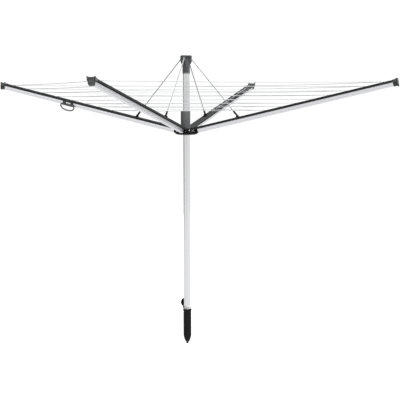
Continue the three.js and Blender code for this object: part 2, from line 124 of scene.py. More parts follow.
def lathe(profile, segments=ROUND):
    """A turned shape about Z. The profile lists (radius, height), anticlockwise in that plane."""
    on_axis = profile[0][0] == 0 and profile[-1][0] == 0
    verts, rings = [], []
    for radius, height in profile:
        start = len(verts)
        if radius == 0:
            verts.append((0.0, 0.0, height))
            rings.append([start])
            continue
        for step in range(segments):
            turn = 2 * math.pi * step / segments
            verts.append((radius * math.cos(turn), radius * math.sin(turn), height))
        rings.append(list(range(start, start + segments)))
    pairs = list(zip(rings, rings[1:]))
    if not on_axis:
        pairs.append((rings[-1], rings[0]))
    faces = []
    for low, high in pairs:
        for k in range(segments):
            n = (k + 1) % segments
            corners = [low[k % len(low)], low[n % len(low)], high[n % len(high)], high[k % len(high)]]
            corners = list(dict.fromkeys(corners))
            if len(corners) > 2:
                faces.append(corners)
    return verts, faces


def filleted(points, radii, steps=4):
    """The polygon with its corners rounded. radii gives each corner's radius, or one for all."""
    count = len(points)
    if not hasattr(radii, "__len__"):
        radii = [radii] * count
    outline = []
    for index, corner in enumerate(points):
        here = Vector(corner)
        before = (Vector(points[index - 1]) - here)
        after = (Vector(points[(index + 1) % count]) - here)
        radius = radii[index]
        half = before.angle(after) / 2
        reach = radius / math.tan(half) if radius > 0 else 0
        reach = min(reach, before.length * 0.45, after.length * 0.45)
        if reach < 0.02:
            outline.append((here.x, here.y))
            continue
        first = here + before.normalized() * reach
        last = here + after.normalized() * reach
        for step in range(steps + 1):
            t = step / steps
            point = first.lerp(here, t).lerp(here.lerp(last, t), t)
            outline.append((point.x, point.y))
    return outline


def prism_x(outline, start, end):
    """An outline in (Y, Z), anticlockwise seen from +X, swept along X."""
    count = len(outline)
    verts = [(start, y, z) for y, z in outline] + [(end, y, z) for y, z in outline]
    faces = [list(range(count))[::-1], list(range(count, 2 * count))]
    for i in range(count):
        j = (i + 1) % count
        faces.append([i, j, count + j, count + i])
    return verts, faces


def prism_y(outline, start, end):
    """An outline in (X, Z), anticlockwise with X right and Z up, swept along Y."""
    count = len(outline)
    verts = [(x, start, z) for x, z in outline] + [(x, end, z) for x, z in outline]
    faces = [list(range(count)), list(range(count, 2 * count))[::-1]]
    for i in range(count):
        j = (i + 1) % count
        faces.append([i, count + i, count + j, j])
    return verts, faces


def box(low, high):
    (x0, y0, z0), (x1, y1, z1) = low, high
    return prism_x([(y0, z0), (y1, z0), (y1, z1), (y0, z1)], x0, x1)


def bar(start, end, profile, segments=SMALL_ROUND):
    """A turned shape from start to end. The profile lists (share of the length, radius)."""
    start, end = Vector(start), Vector(end)
    along = end - start
    turn = Vector((0, 0, 1)).rotation_difference(along).to_matrix().to_4x4()
    points = [(0, 0)] + [(radius, share * along.length) for share, radius in profile]
    points.append((0, along.length))
    return moved(lathe(points, segments), Matrix.Translation(start) @ turn)


def pin(start, end, radius, chamfer=0.5, segments=SMALL_ROUND):
    """A round bar with chamfered ends."""
    share = chamfer / (Vector(end) - Vector(start)).length
    profile = [(0, radius - chamfer), (share, radius), (1 - share, radius), (1, radius - chamfer)]
    return bar(start, end, profile, segments)


def tube(points, radius, sides=10):
    """A round cord along the points, with flat ends."""
    points = [Vector(p) for p in points]
    tangents = []
    for index in range(len(points)):
        before = points[max(index - 1, 0)]
        after = points[min(index + 1, len(points) - 1)]
        tangents.append((after - before).normalized())
    side = tangents[0].orthogonal().normalized()
    verts, faces = [], []
    for index, (point, tangent) in enumerate(zip(points, tangents)):
        side = (side - tangent * side.dot(tangent)).normalized()
        other = tangent.cross(side)
        for step in range(sides):
            turn = 2 * math.pi * step / sides
            out = (side * math.cos(turn) + other * math.sin(turn)) * radius
            verts.append(tuple(point + out))
        if index:
            low, high = (index - 1) * sides, index * sides
            for k in range(sides):
                n = (k + 1) % sides
                faces.append([low + k, low + n, high + n, high + k])
    last = (len(points) - 1) * sides
    faces.append(list(range(sides))[::-1])
    faces.append([last + k for k in range(sides)])
    return verts, faces


def spline(points, steps):
    """Points along a Catmull-Rom curve through the given ones."""
    points = [Vector(p) for p in points]
    padded = [2 * points[0] - points[1], *points, 2 * points[-1] - points[-2]]
    result = []
    for index in range(1, len(padded) - 2):
        a, b, c, d = padded[index - 1 : index + 3]
        for step in range(steps):
            t = step / steps
            result.append(
                0.5 * (2 * b + (c - a) * t + (2 * a - 5 * b + 4 * c - d) * t**2
                       + (3 * b - a - 3 * c + d) * t**3)
            )
    result.append(points[-1])
    return result


# ------------------------------------------------------------------ mesh operations


def to_mesh(shape, name="shape"):
    mesh = bpy.data.meshes.new(name)
    mesh.from_pydata([tuple(v) for v in shape[0]], [], shape[1])
    mesh.update()
    return mesh


def to_shape(mesh):
    verts = [tuple(v.co) for v in mesh.vertices]
    faces = [list(polygon.vertices) for polygon in mesh.polygons]
    bpy.data.meshes.remove(mesh)
    return verts, faces


def boolean(first, second, operation):
    scene = bpy.context.scene
    body = bpy.data.objects.new("body", to_mesh(first))
    tool = bpy.data.objects.new("tool", to_mesh(second))
    scene.collection.objects.link(body)
    scene.collection.objects.link(tool)
    modifier = body.modifiers.new("boolean", "BOOLEAN")
    modifier.operation = operation
    modifier.solver = "EXACT"
    modifier.object = tool
    graph = bpy.context.evaluated_depsgraph_get()
    result = bpy.data.meshes.new_from_object(body.evaluated_get(graph))
    for scratch in (body, tool):
        mesh = scratch.data
        bpy.data.objects.remove(scratch)
        bpy.data.meshes.remove(mesh)
    return to_shape(result)


def union(first, *others):
    for other in others:
        first = boolean(first, other, "UNION")
    return first


def cut(shape, *tools):
    for tool in tools:
        shape = boolean(shape, tool, "DIFFERENCE")
    return shape


def bevelled(shape, width, segments=2, angle=28):
    """The shape with its sharp edges rounded."""
    mesh = to_mesh(shape)
    bm = bmesh.new()
    bm.from_mesh(mesh)
    bmesh.ops.remove_doubles(bm, verts=bm.verts, dist=0.002)
    bmesh.ops.recalc_face_normals(bm, faces=bm.faces)
    edges = [
        edge
        for edge in bm.edges
        if len(edge.link_faces) == 2 and edge.calc_face_angle() > math.radians(angle)
    ]
    bmesh.ops.bevel(
        bm,
        geom=edges,
        offset=width,
        segments=segments,
        profile=0.5,
        affect="EDGES",
        clamp_overlap=True,
    )
    bm.to_mesh(mesh)
    bm.free()
    return to_shape(mesh)


def add(name, shape, material, body, place=None, replaces=()):
    """Makes the piece, puts it in place and has it ride on the CAD body."""
    mesh = to_mesh(shape, name)
    mesh.transform(Matrix.Scale(MM, 4))
    bm = bmesh.new()
    bm.from_mesh(mesh)
    bmesh.ops.recalc_face_normals(bm, faces=bm.faces)
    bm.to_mesh(mesh)
    bm.free()
    mesh.polygons.foreach_set("use_smooth", [True] * len(mesh.polygons))
    mesh.set_sharp_from_angle(angle=math.radians(34))
    mesh.materials.append(material)
    piece = bpy.data.objects.new(name, mesh)
    bpy.context.scene.collection.objects.link(piece)
    if place is not None:
        piece.matrix_world = place
    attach(piece, body)
    if replaces:
        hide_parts(*replaces)
    return piece


# ------------------------------------------------------------------ materials


class Nodes:
    """A material's node tree, with short calls for the nodes that are used here."""

    def __init__(self, name):
        self.material = bpy.data.materials.new(name)
        self.material.use_nodes = True
        self.tree = self.material.node_tree
        self.shader = self.tree.nodes["Principled BSDF"]
        self.place = self.tree.nodes.new("ShaderNodeTexCoord").outputs["Object"]

    def link(self, output, target):
        self.tree.links.new(output, target)

    def stretched(self, scale):
        """The object's own coordinates, in metres, times the three scales."""
        node = self.tree.nodes.new("ShaderNodeMapping")
        node.inputs["Scale"].default_value = scale
        self.link(self.place, node.inputs["Vector"])
        return node.outputs["Vector"]

    def noise(self, scale, detail=3, roughness=0.5, vector=None):
        node = self.tree.nodes.new("ShaderNodeTexNoise")
        node.inputs["Scale"].default_value = scale
        node.inputs["Detail"].default_value = detail
        node.inputs["Roughness"].default_value = roughness
        self.link(vector or self.place, node.inputs["Vector"])
        return node.outputs["Fac"]

    def spread(self, value, low, high, start=0.3, end=0.7):
        """Spreads value from start..end over low..high."""
        node = self.tree.nodes.new("ShaderNodeMapRange")
        node.inputs["From Min"].default_value = start
        node.inputs["From Max"].default_value = end
        node.inputs["To Min"].default_value = low
        node.inputs["To Max"].default_value = high
        self.link(value, node.inputs["Value"])
        return node.outputs["Result"]

    def blend(self, value, first, second):
        node = self.tree.nodes.new("ShaderNodeMix")
        node.data_type = "RGBA"
        self.link(value, node.inputs["Factor"])
        for socket, colour in (("A", first), ("B", second)):
            target = [i for i in node.inputs if i.name == socket and i.type == "RGBA"][0]
            if isinstance(colour, bpy.types.NodeSocket):
                self.link(colour, target)
            else:
                target.default_value = (*colour, 1)
        return [o for o in node.outputs if o.type == "RGBA"][0]

    def edges(self, low=0.5, high=0.56):
        """How strongly the surface turns at an edge, for wear along it."""
        node = self.tree.nodes.new("ShaderNodeNewGeometry")
        return self.spread(node.outputs["Pointiness"], 0, 1, low, high)

    def bump(self, height, strength, distance, after=None):
        node = self.tree.nodes.new("ShaderNodeBump")
        node.inputs["Strength"].default_value = strength
        node.inputs["Distance"].default_value = distance
        self.link(height, node.inputs["Height"])
        if after is not None:
            self.link(after, node.inputs["Normal"])
        return node.outputs["Normal"]

    def set(self, **values):
        for name, value in values.items():
            socket = self.shader.inputs[name.replace("_", " ").title().replace("Ior", "IOR")]
            if isinstance(value, bpy.types.NodeSocket):
                self.link(value, socket)
            else:
                socket.default_value = value
        return self.material


def shade(colour, factor):
    return tuple(min(1, part * factor) for part in colour)


def plastic(name, colour, roughness, grain=0.12, shine=0.3):
    """Moulded plastic: fine grain, faint mottling, and edges rubbed a little lighter."""
    nodes = Nodes(name)
    mottle = nodes.spread(nodes.noise(38, 4), 0, 1)
    base = nodes.blend(mottle, shade(colour, 0.88), shade(colour, 1.12))
    base = nodes.blend(nodes.edges(), base, shade(colour, 1.6))
    gloss = nodes.spread(nodes.noise(160, 2), roughness - 0.06, roughness + 0.08)
    coarse = nodes.bump(nodes.noise(420, 2), grain * 0.5, 0.0003)
    fine = nodes.bump(nodes.noise(2100, 2, 0.6), grain, 0.0002, coarse)
    return nodes.set(base_color=base, roughness=gloss, normal=fine, specular_ior_level=shine)


def drawn_metal(name, colour, roughness, along):
    """Aluminium with fine drawing lines along one axis of the piece."""
    nodes = Nodes(name)
    lines = nodes.stretched(tuple(1.5 if axis == along else 420 for axis in range(3)))
    fine = nodes.noise(1, 5, 0.65, lines)
    broad = nodes.stretched(tuple(0.8 if axis == along else 60 for axis in range(3)))
    bands = nodes.noise(1, 3, 0.5, broad)
    base = nodes.blend(nodes.spread(bands, 0, 1), shade(colour, 0.95), shade(colour, 1.03))
    gloss = nodes.spread(fine, roughness - 0.05, roughness + 0.09)
    normal = nodes.bump(fine, 0.08, 0.0001, nodes.bump(bands, 0.05, 0.0003))
    return nodes.set(base_color=base, metallic=1.0, roughness=gloss, normal=normal)


def plated_steel(name):
    nodes = Nodes(name)
    clouds = nodes.spread(nodes.noise(90, 4), 0, 1)
    base = nodes.blend(clouds, (0.60, 0.61, 0.62), (0.74, 0.75, 0.76))
    gloss = nodes.spread(nodes.noise(700, 3), 0.26, 0.42)
    normal = nodes.bump(nodes.noise(1200, 2), 0.1, 0.0001)
    return nodes.set(base_color=base, metallic=1.0, roughness=gloss, normal=normal)


def cord_with_painted_shade(name, light, dark, fuzz):
    """White cord, fibres or coating, with painted shade that makes it a little darker in the hollows of its
    bump.
    """
    nodes = Nodes(name)
    fibre = nodes.noise(1500, 3, 0.6)
    patches = nodes.spread(nodes.noise(14, 3), 0, 1)
    # painted shade: where the fibre noise dents the surface, the colour goes towards the darker of the two
    base = nodes.blend(nodes.spread(fibre, 0, 1), dark, light)
    base = nodes.blend(patches, base, shade(light, 0.96))
    return nodes.set(
        base_color=base,
        roughness=nodes.spread(fibre, 0.6, 0.8),
        normal=nodes.bump(fibre, fuzz, 0.0003),
    )


aluminium_up = drawn_metal("drawn_aluminium_mast", (0.72, 0.73, 0.74), 0.20, 2)
aluminium_arm = drawn_metal("drawn_aluminium_arm", (0.74, 0.75, 0.76), 0.30, 0)
steel = plated_steel("zinc_plated_steel")
grey_plastic = plastic("dark_grey_plastic", (0.070, 0.071, 0.073), 0.55)
cap_plastic = plastic("mid_grey_plastic", (0.110, 0.111, 0.114), 0.55)
rail_plastic = plastic("charcoal_plastic", (0.022, 0.0224, 0.023), 0.70, shine=0.12)
black_plastic = plastic("black_plastic", (0.004, 0.004, 0.0042), 0.5, shine=0.18)
pale_plastic = plastic("pale_grey_plastic", (0.45, 0.45, 0.455), 0.42, 0.06)
# for rope and line alike, the second colour is painted shade in the hollows of the bump
rope_white = cord_with_painted_shade("braided_rope", (0.48, 0.49, 0.50), (0.36, 0.37, 0.38), 0.35)
line_white = cord_with_painted_shade("coated_line", (0.55, 0.56, 0.57), (0.50, 0.51, 0.52), 0.08)

CAD_FINISHES = {
    "mast_foot": black_plastic,
    "slide_bush": pale_plastic,
}
for node, finish in CAD_FINISHES.items():
    cad_piece = frame["nodes"][node]
    cad_piece.data.materials.clear()
    cad_piece.data.materials.append(finish)

# ------------------------------------------------------------------ camera, floor and light


CAMERA_PLACE = (2.9016, -7.3160, 1.5600)
CAMERA_TURN = 20.927  # degrees from the +Y direction, anticlockwise from above
CAMERA_PITCH = 5.344  # downwards
CAMERA_ROLL = -0.209


def make_camera():
    data = bpy.data.cameras.new("camera")
    data.sensor_width = 36
    data.lens = 96.86
    data.clip_end = 200
    camera = bpy.data.objects.new("camera", data)
    turn = Matrix.Rotation(math.radians(CAMERA_TURN), 4, "Z")
    pitch = Matrix.Rotation(math.radians(90 - CAMERA_PITCH), 4, "X")
    roll = Matrix.Rotation(math.radians(CAMERA_ROLL), 4, "Z")
    camera.matrix_world = Matrix.Translation(CAMERA_PLACE) @ turn @ pitch @ roll
    bpy.context.scene.collection.objects.link(camera)
    bpy.context.scene.camera = camera


def ray_strength(tree, camera, mirrored_ray, other=0.0):
    """A strength that depends on whether the camera, a mirroring surface or a dull one looks."""
    path = tree.nodes.new("ShaderNodeLightPath")
    first = tree.nodes.new("ShaderNodeMath")
    first.operation = "MULTIPLY_ADD"
    first.inputs[1].default_value = camera - other
    first.inputs[2].default_value = other
    second = tree.nodes.new("ShaderNodeMath")
    second.operation = "MULTIPLY_ADD"
    second.inputs[1].default_value = mirrored_ray - other
    tree.links.new(path.outputs["Is Camera Ray"], first.inputs[0])
    tree.links.new(path.outputs["Is Glossy Ray"], second.inputs[0])
    tree.links.new(first.outputs["Value"], second.inputs[2])
    return second.outputs["Value"]


def make_floor(height, radius=9.0):
    """A pale floor, white to the camera and in the metal; it sends little light up to the piece."""
    nodes = Nodes("pale_floor")
    clouds = nodes.spread(nodes.noise(0.7, 3), 0, 1)
    nodes.set(base_color=nodes.blend(clouds, (0.20, 0.20, 0.20), (0.22, 0.22, 0.22)), roughness=0.9)
    white = nodes.tree.nodes.new("ShaderNodeEmission")
    glow = ray_strength(nodes.tree, 1.05, 0.62)
    mix = nodes.tree.nodes.new("ShaderNodeAddShader")
    nodes.link(glow, white.inputs["Strength"])
    nodes.link(nodes.shader.outputs["BSDF"], mix.inputs[0])
    nodes.link(white.outputs["Emission"], mix.inputs[1])
    nodes.link(mix.outputs["Shader"], nodes.tree.nodes["Material Output"].inputs["Surface"])
    mesh = to_mesh(lathe([(0, height - 0.02), (radius, height - 0.02), (radius, height), (0, height)], 96))
    mesh.materials.append(nodes.material)
    floor = bpy.data.objects.new("floor", mesh)
    bpy.context.scene.collection.objects.link(floor)


FILL_STRENGTH = 0.45
BAND_STRENGTH = 1.7
BANDS = (  # position round the horizon, brightness in what the metal mirrors
    (0.0, 0.24), (0.07, 0.22), (0.12, 0.34), (0.165, 0.86), (0.20, 0.54), (0.25, 0.40), (0.31, 0.50),
    (0.36, 0.56), (0.48, 0.60), (0.6, 0.54), (0.75, 0.58), (0.9, 0.50), (1.0, 0.24),
)
SUNS = (  # name, the direction it comes from, its width in degrees, its strength
    ("key_light", (0.50, -0.05, 0.87), 30, 4.6),
    ("front_light", (-0.2, -0.8, 0.5), 50, 0.25),
)


def make_light():
    """White all round for the camera, soft bands for what the metal reflects, and a lower fill."""
    world = bpy.data.worlds.new("studio")
    world.use_nodes = True
    tree = world.node_tree
    tree.nodes.clear()
    output = tree.nodes.new("ShaderNodeOutputWorld")
    place = tree.nodes.new("ShaderNodeTexCoord")
    turn = tree.nodes.new("ShaderNodeTexGradient")
    turn.gradient_type = "RADIAL"
    bands = tree.nodes.new("ShaderNodeValToRGB")
    bands.color_ramp.interpolation = "B_SPLINE"
    ramp = bands.color_ramp
    while len(ramp.elements) < len(BANDS):
        ramp.elements.new(0.5)
    for element, (position, value) in zip(ramp.elements, BANDS):
        element.position = position
        element.color = (value, value, value, 1)
    studio = tree.nodes.new("ShaderNodeBackground")
    tree.links.new(ray_strength(tree, 0, BAND_STRENGTH), studio.inputs["Strength"])
    even = tree.nodes.new("ShaderNodeBackground")
    even.inputs["Color"].default_value = (1, 1, 1, 1)
    tree.links.new(ray_strength(tree, 1.05, 0, FILL_STRENGTH), even.inputs["Strength"])
    both = tree.nodes.new("ShaderNodeAddShader")
    tree.links.new(place.outputs["Generated"], turn.inputs["Vector"])
    tree.links.new(turn.outputs["Fac"], bands.inputs["Fac"])
    tree.links.new(bands.outputs["Color"], studio.inputs["Color"])
    tree.links.new(studio.outputs["Background"], both.inputs[0])
    tree.links.new(even.outputs["Background"], both.inputs[1])
    tree.links.new(both.outputs["Shader"], output.inputs["Surface"])
    bpy.context.scene.world = world

    for name, towards, softness, strength in SUNS:
        data = bpy.data.lights.new(name, "SUN")
        data.angle = math.radians(softness)
        data.energy = strength
        light = bpy.data.objects.new(name, data)
        light.rotation_euler = Vector(towards).to_track_quat("Z", "Y").to_euler()
        bpy.context.scene.collection.objects.link(light)


bpy.context.scene.view_settings.view_transform = "Standard"
make_camera()
make_floor(cad_box[0].z - 0.0005)
make_light()

# ------------------------------------------------------------------ ground socket and lid

SOCKET_TIP = -246
LID_AZIMUTH = 140
LID_HINGE = (41, 19)  # radius from the mast's axis, height


def ground_socket():
    tip = SOCKET_TIP
    body = lathe([
        (0, tip), (4, tip + 0.4), (7, tip + 2.4), (9, tip + 6.5), (9.8, tip + 12), (11, tip + 16.5),
        (17.5, tip + 22), (19, tip + 25), (20, tip + 31), (23.4, tip + 37), (24.2, tip + 41),
        (24.6, tip + 46),
        (27.6, tip + 52), (28.5, tip + 57), (28.5, -12), (28.9, -4), (29.5, -1), (30.6, 0), (31.2, 2.5),
        (31.6, 7), (31.6, 13.6), (31.2, 15.2), (30, 16), (26.4, 16), (25.6, 15.2), (25.6, -186), (0, -186),
    ])
    ribs = []
    for index in range(8):
        rib = bevelled(box((27, -1.6, tip + 60), (29.6, 1.6, -14)), 0.6)
        ribs.append(turned_z(rib, 22.5 + index * 45))
    radius, height = LID_HINGE
    lug = [(28, 2), (36, 2), (radius + 4, height - 4), (radius + 4, height + 2), (radius + 2, height + 4),
           (radius - 2, height + 4), (radius - 4, height + 1), (radius - 5, 14), (28, 14)]
    hinge = bevelled(prism_y(filleted(lug, 2, 3), -5, 5), 0.6)
    return union(body, turned_z(hinge, LID_AZIMUTH), *ribs)


def socket_lid():
    """The open lid: an upright disc with a plug ring towards the mast, hinge ears and a grip."""
    radius, height = LID_HINGE
    disc = lathe([
        (0, 0), (28, 0), (29, 0.6), (30.6, 0.6), (31.6, 1.2), (32, 2.2), (31.8, 4.2), (31.2, 4.8),
        (24.6, 4.8),
        (24.4, 8.2), (23.8, 8.8), (22.2, 8.8), (21.6, 8.2), (21.4, 3.6), (0, 3.6),
    ])
    place = Matrix.Translation((radius + 2, 0, height + radius)) @ Matrix.Rotation(-math.pi / 2, 4, "Y")
    disc = moved(disc, place)
    ear = filleted([(radius - 2, height - 1), (radius - 1, height - 4), (radius + 2, height - 4),
                    (radius + 4, height - 1), (radius + 3.2, height + 3), (radius + 2, height + 18),
                    (radius - 2, height + 18)], 1.2, 3)
    ears = [bevelled(prism_y(ear, start, start + 10.7), 0.4) for start in (5.3, -16.0)]
    edge = height + 2 * radius
    grip = bevelled(box((radius - 1.5, -9, edge - 12), (radius + 1.5, 9, edge - 7)), 0.8)
    return union(disc, *ears, grip)


lid_turn = Matrix.Rotation(math.radians(LID_AZIMUTH), 4, "Z")
add("ground_socket_body", ground_socket(), black_plastic, "socket",
    replaces=["ground_socket"])
add("lid_disc", socket_lid(), black_plastic, "lid", lid_turn.copy(),
    replaces=["socket_lid"])
lid_pin_shape = pin((LID_HINGE[0], -16.5, LID_HINGE[1]), (LID_HINGE[0], 16.5, LID_HINGE[1]), 1.7)
add("lid_hinge_pin", lid_pin_shape, steel, "socket", lid_turn.copy(), replaces=["lid_pin"])

# ------------------------------------------------------------------ mast

MAST_BOTTOM = -180
MAST_TOP = 1860
CAP_BOTTOM = 1746
CAP_TOP = 1878
STAY_ANCHOR = (36, 1857)  # radius, height


def mast_tube():
    inner = MAST_RADIUS - MAST_WALL
    return lathe([
        (inner + 0.4, MAST_BOTTOM), (MAST_RADIUS - 0.4, MAST_BOTTOM), (MAST_RADIUS, MAST_BOTTOM + 0.4),
        (MAST_RADIUS, MAST_TOP - 0.4), (MAST_RADIUS - 0.4, MAST_TOP), (inner + 0.4, MAST_TOP),
        (inner, MAST_TOP - 0.4), (inner, MAST_BOTTOM + 0.4),
    ], 96)


def centring_cone():
    bottom = 16 + GAP
    profile = [
        (25.4, bottom), (28.4, bottom), (29, bottom + 0.6), (28.9, bottom + 3.4), (28.2, bottom + 4.2),
        (28.2, bottom + 6.4), (28.7, bottom + 7.2), (28.5, bottom + 9), (26.9, bottom + 23.8),
        (26.2, bottom + 25), (25.4, bottom + 25),
    ]
    return lathe(profile)


def top_cap():
    """A barrel over the mast's end, a notched disc on top, and a pair of ears for each stay."""
    body = lathe([
        (0, CAP_BOTTOM + 70), (25.3, CAP_BOTTOM + 70), (25.3, CAP_BOTTOM + 0.8), (25.9, CAP_BOTTOM),
        (26.6, CAP_BOTTOM), (27.2, CAP_BOTTOM + 0.8), (27.2, CAP_BOTTOM + 8), (26.7, CAP_BOTTOM + 8.8),
        (26.7, CAP_BOTTOM + 11), (27.2, CAP_BOTTOM + 11.8), (27.2, 1812), (27.7, 1815), (28.7, 1820),
        (28.7, 1868), (29.4, 1869.4), (37.4, 1871), (38.5, 1872.2), (38.5, 1875.8), (37.8, 1877.4),
        (36.4, CAP_TOP), (12, CAP_TOP), (11, CAP_TOP - 1), (0, CAP_TOP - 1),
    ])
    ear = filleted([
        (26.5, 1813), (31, 1815), (38, 1825), (42, 1842), (42.5, 1870), (40, 1874), (26.5, 1874),
    ], [0, 3, 4, 6, 3, 2, 0], 3)
    ears = [turned_z(bevelled(prism_y(ear, -9.2, 9.2), 0.6), 90 * quarter) for quarter in range(4)]
    slots = [turned_z(box((27.6, -5.2, 1805), (50, 5.2, 1885)), 90 * quarter) for quarter in range(4)]
    return cut(union(body, *ears), *slots)


add("mast_profile", mast_tube(), aluminium_up, "mast", replaces=["mast_tube"])
add("cone_ring", centring_cone(), pale_plastic, "mast", replaces=["centring_cone"])
add("cap_head", top_cap(), cap_plastic, "mast", replaces=["top_cap"])

# ------------------------------------------------------------------ hub

HUB_BOTTOM = 1302
HUB_BORE = 28.8
NECK_TOP = 1350
SLEEVE_TOP = 1475
SLEEVE_BORE, SLEEVE_RADIUS = 25.4, 28.8
LOBE_AZIMUTH, LOBE_OFFSET = 225, 13.8
HINGE_HEIGHT = joints["right_arm_fold"]["pos_m"][2] / MM
BUTTON_AZIMUTH = -45
BUTTON_HEIGHT = 1334
BUTTON_RADIUS = 4.5


def hub_base():
    bottom = HUB_BOTTOM
    body = lathe([
        (HUB_BORE, bottom + 0.6), (HUB_BORE + 0.6, bottom), (44, bottom), (54, bottom + 0.9),
        (62, bottom + 2),
        (70, bottom + 3.9), (76, bottom + 6), (80.5, bottom + 8.9), (83, bottom + 11.5), (83, bottom + 12.5),
        (82, bottom + 13), (70, bottom + 9.5), (38, bottom + 9), (35.8, bottom + 9.6), (35, bottom + 11),
        (35, NECK_TOP - 1.2), (34.2, NECK_TOP - GAP), (HUB_BORE, NECK_TOP - GAP),
    ])
    hinge = HINGE_HEIGHT
    ear = [(57, bottom + 6), (77, bottom + 9), (79, hinge), (78.2, hinge + 4.2), (75.8, hinge + 7.8),
           (72.2, hinge + 10.2), (68, hinge + 11), (63.8, hinge + 10.2), (60.2, hinge + 7.8)]
    parts = []
    for quarter in range(4):
        for start in (12.6, -17.6):
            parts.append(turned_z(bevelled(prism_y(ear, start, start + 5), 0.7), 90 * quarter))
        web = bevelled(box((33, -2, bottom + 6), (58, 2, bottom + 21)), 0.7)
        parts.append(turned_z(web, 45 + 90 * quarter))
    boss = pin((32, 0, BUTTON_HEIGHT), (47, 0, BUTTON_HEIGHT), BUTTON_RADIUS + 3.5, 0.8, 32)
    bore = pin((20, 0, BUTTON_HEIGHT), (60, 0, BUTTON_HEIGHT), BUTTON_RADIUS + GAP, 0.1, 32)
    body = union(body, *parts, turned_z(boss, BUTTON_AZIMUTH))
    return cut(body, turned_z(bore, BUTTON_AZIMUTH))


def stadium(radius, steps=30):
    """Two half circles, one about the mast's axis and one about the lobe's, joined by straights."""
    outline = []
    for centre, start in ((LOBE_OFFSET, -math.pi / 2), (0, math.pi / 2)):
        for step in range(steps + 1):
            turn = start + math.pi * step / steps
            outline.append((centre + radius * math.cos(turn), radius * math.sin(turn)))
    return outline


def stacked(levels):
    """A closed shape through outlines of equal length, each given with its height."""
    verts, faces = [], []
    count = len(levels[0][0])
    for level, (outline, height) in enumerate(levels):
        verts += [(x, y, height) for x, y in outline]
        if level:
            low, high = (level - 1) * count, level * count
            after = [(k + 1) % count for k in range(count)]
            faces += [[low + k, low + after[k], high + after[k], high + k] for k in range(count)]
    faces.append(list(range(count))[::-1])
    faces.append([len(verts) - count + k for k in range(count)])
    return verts, faces


def hub_sleeve():
    """A tube round the mast, wider on one side, with a groove near each end."""
    low, high, radius = NECK_TOP, SLEEVE_TOP, SLEEVE_RADIUS
    profile = [(radius - 0.8, low), (radius, low + 0.8), (radius, low + 9), (radius - 0.5, low + 9.6),
               (radius - 0.5, low + 11.4), (radius, low + 12), (radius, high - 2.0),
               (radius - 0.6, high - 0.7), (radius - 1.8, high)]
    body = stacked([(stadium(size), height) for size, height in profile])
    bore = lathe([(0, low - 5), (SLEEVE_BORE, low - 5), (SLEEVE_BORE, high + 5), (0, high + 5)])
    return turned_z(cut(body, bore), LOBE_AZIMUTH)


def lock_button():
    height = BUTTON_HEIGHT
    return bar((32, 0, height), (51, 0, height), [
        (0, 3.9), (0.03, BUTTON_RADIUS), (0.93, BUTTON_RADIUS), (0.97, 4.2), (1.0, 3.3),
    ], 32)


add("hub_dish", hub_base(), black_plastic, "hub", replaces=["hub_base"])
add("hub_grip", hub_sleeve(), grey_plastic, "hub", replaces=["hub_sleeve"])
button_turn = Matrix.Rotation(math.radians(BUTTON_AZIMUTH), 4, "Z")
add("catch_button", lock_button(), steel, "catch", button_turn, replaces=["lock_button"])

# ------------------------------------------------------------------ arms

GUIDE_PIVOT = (along_arm(392, ARM_TOP + 10.5), ARM_TOP + 10.5)  # along and across the arm
CAP_SKIRT = 26


def profile_half_width(height):
    """The aluminium profile's half width at that height above the hinge axis."""
    return 12 + 3 * (height + ARM_HALF_HEIGHT) / (2 * ARM_HALF_HEIGHT)


def mirrored(right_side):
    """The closed outline whose right side, listed upwards, is given."""
    return right_side + [(-y, z) for y, z in reversed(right_side)]


def arm_profile():
    w = profile_half_width
    side = [(12, -14), (w(-3.4), -3.4), (w(-2.6) - 0.7, -2.6), (w(-1.0) - 0.7, -1.0), (w(-0.2), -0.2),
            (w(9.0), 9.0), (w(9.4) - 0.5, 9.4), (w(10.4) - 0.5, 10.4), (w(10.8), 10.8), (15, 14)]
    radii = [5, 0.2, 0.2, 0.2, 0.2, 0.2, 0.2, 0.2, 0.2, 0.8]
    outline = filleted(mirrored(side), radii + radii[::-1], 5)
    return prism_x(outline, PROFILE_START + GAP, ARM_END - 11)


def line_rail():
    """A channel on the profile: a groove along its top, a step along each side."""
    base, top = ARM_HALF_HEIGHT + GAP, ARM_TOP
    side = [(5.5, base), (5.5, top - 2.4), (24.2, top - 2.4), (25.4, base + 1.2), (25.6, base), (28, base),
            (28, base + 1.6), (27.3, base + 5.6), (26.6, base + 6.0), (26.4, base + 7.8), (27.0, base + 8.4),
            (26.4, top - 1.0), (25.4, top), (3.5, top), (3.5, top - 7)]
    radii = [0, 0.4, 0.6, 0.2, 0.2, 0.3, 0.4, 0.2, 0.2, 0.2, 0.3, 0.5, 0.6, 0.5, 0.2]
    outline = side + [(-y, z) for y, z in reversed(side)]
    shape = prism_x(filleted(outline, radii + radii[::-1], 3), -8, ARM_END - 11)
    notches = []
    for radius in STATIONS:
        at = along_arm(radius, LINE_HEIGHT)
        notches.append(box((at - 11, -12, LINE_HEIGHT - LINE_RADIUS - GAP), (at + 3, 12, top + 5)))
    return cut(shape, combined(*notches))


def arm_root():
    knuckle = [(-13.4, 0), (-12.4, -5.1), (-9.5, -9.5), (-5.1, -12.4), (0, -13.4), (18, -13.4), (18, 13.4),
               (0, 13.4), (-5.1, 12.4), (-9.5, 9.5), (-12.4, 5.1)]
    body = bevelled(prism_y(knuckle, -12.3, 12.3), 0.8)
    w = profile_half_width
    outline = filleted(mirrored([(12, -14), (15, 14)]), [5, 1, 1, 5], 5)
    collar = bevelled(prism_x(outline, 12, PROFILE_START), 0.5)
    lip_outline = [(w(-14) + 1, -15), (w(14) + 1, 14), (-w(14) - 1, 14), (-w(-14) - 1, -15)]
    lip = filleted(lip_outline, [6, 1, 1, 6], 5)
    lip = bevelled(prism_x(lip, 17, PROFILE_START + 4), 0.6)
    return union(body, collar, lip)


